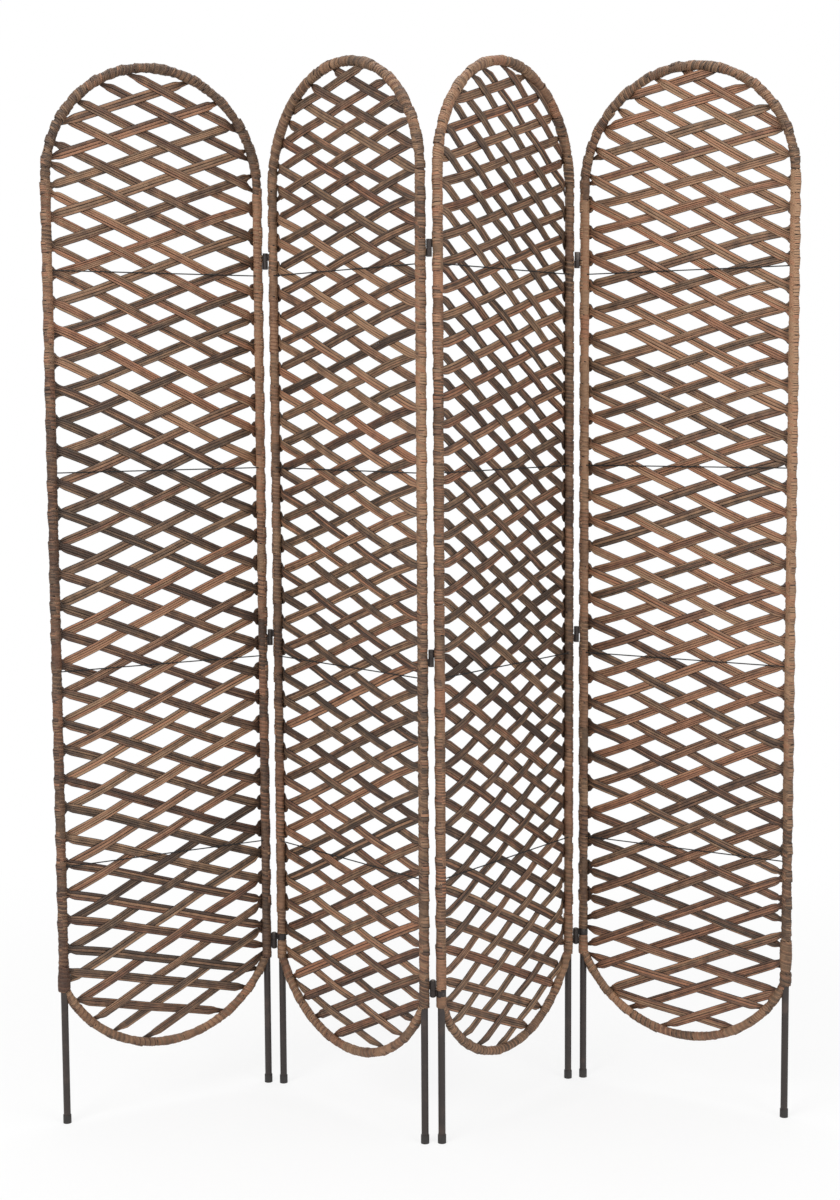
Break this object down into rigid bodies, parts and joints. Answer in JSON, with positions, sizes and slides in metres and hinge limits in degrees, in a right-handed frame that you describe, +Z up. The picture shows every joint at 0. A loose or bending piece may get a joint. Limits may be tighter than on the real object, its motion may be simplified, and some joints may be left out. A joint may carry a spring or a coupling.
{
  "type": "folding screen",
  "caption": "Folding screen of hinged steel hoops wound with reed, each filled with an open diagonal lattice of woven reed strips above a curved bottom rail.",
  "frame": {"origin": "on the floor, at the middle of the bounding box of the screen as it stands in the picture", "axes": "+Z up, +X along the screen from its left-hand panel to its right-hand one as seen from the front, +Y from the front to the back; the picture looks along +Y"},
  "size_m": [1.25, 0.331, 1.8],
  "materials": {
    "frame_steel": "dark brown paint, satin",
    "hinge_steel": "dark paint over mild steel, satin",
    "pin_steel": "darkened steel, satin",
    "wire_steel": "dark paint, satin",
    "cap_plastic": "matt black-brown",
    "binding_reed": "split reed, matt with a slight sheen",
    "falling_reed": "dark stained reed, matt",
    "rising_reed": "lighter reddish reed, matt"
  },
  "bodies": {
    "panel_1": {"hoop_1": "frame_steel", "bow_1": "frame_steel", "hoop_binding_1": "binding_reed", "bow_binding_1": "binding_reed", "falling_strips_1": "falling_reed", "rising_strips_1": "rising_reed", "cross_wires_1": "wire_steel", "leg_caps_1": "cap_plastic", "lower_knuckles_12": "hinge_steel", "hinge_pins_12": "pin_steel", "bottom_knuckle_12": "hinge_steel", "bottom_pin_12": "pin_steel"},
    "panel_2": {"hoop_2": "frame_steel", "bow_2": "frame_steel", "hoop_binding_2": "binding_reed", "bow_binding_2": "binding_reed", "falling_strips_2": "falling_reed", "rising_strips_2": "rising_reed", "cross_wires_2": "wire_steel", "leg_caps_2": "cap_plastic", "upper_knuckles_12": "hinge_steel", "bottom_strap_12": "hinge_steel", "lower_knuckles_23": "hinge_steel", "hinge_pins_23": "pin_steel", "bottom_knuckle_23": "hinge_steel", "bottom_pin_23": "pin_steel"},
    "panel_3": {"hoop_3": "frame_steel", "bow_3": "frame_steel", "hoop_binding_3": "binding_reed", "bow_binding_3": "binding_reed", "falling_strips_3": "falling_reed", "rising_strips_3": "rising_reed", "cross_wires_3": "wire_steel", "leg_caps_3": "cap_plastic", "upper_knuckles_23": "hinge_steel", "bottom_strap_23": "hinge_steel", "lower_knuckles_34": "hinge_steel", "hinge_pins_34": "pin_steel", "bottom_knuckle_34": "hinge_steel", "bottom_pin_34": "pin_steel"},
    "panel_4": {"hoop_4": "frame_steel", "bow_4": "frame_steel", "hoop_binding_4": "binding_reed", "bow_binding_4": "binding_reed", "falling_strips_4": "falling_reed", "rising_strips_4": "rising_reed", "cross_wires_4": "wire_steel", "leg_caps_4": "cap_plastic", "upper_knuckles_34": "hinge_steel", "bottom_strap_34": "hinge_steel"}
  },
  "joints": [
    {"name": "fold_1_2", "type": "hinge", "parent": "panel_2", "child": "panel_1", "pos_m": [-0.2728, 0.1298, 0.264], "axis": [0, 0, 1], "range_deg": [-79, 101]},
    {"name": "fold_2_3", "type": "hinge", "parent": "panel_2", "child": "panel_3", "pos_m": [0.01308, -0.15779, 0.264], "axis": [0, 0, 1], "range_deg": [-101, 79]},
    {"name": "fold_3_4", "type": "hinge", "parent": "panel_3", "child": "panel_4", "pos_m": [0.2728, 0.15363, 0.264], "axis": [0, 0, -1], "range_deg": [-84, 96]}
  ]
}
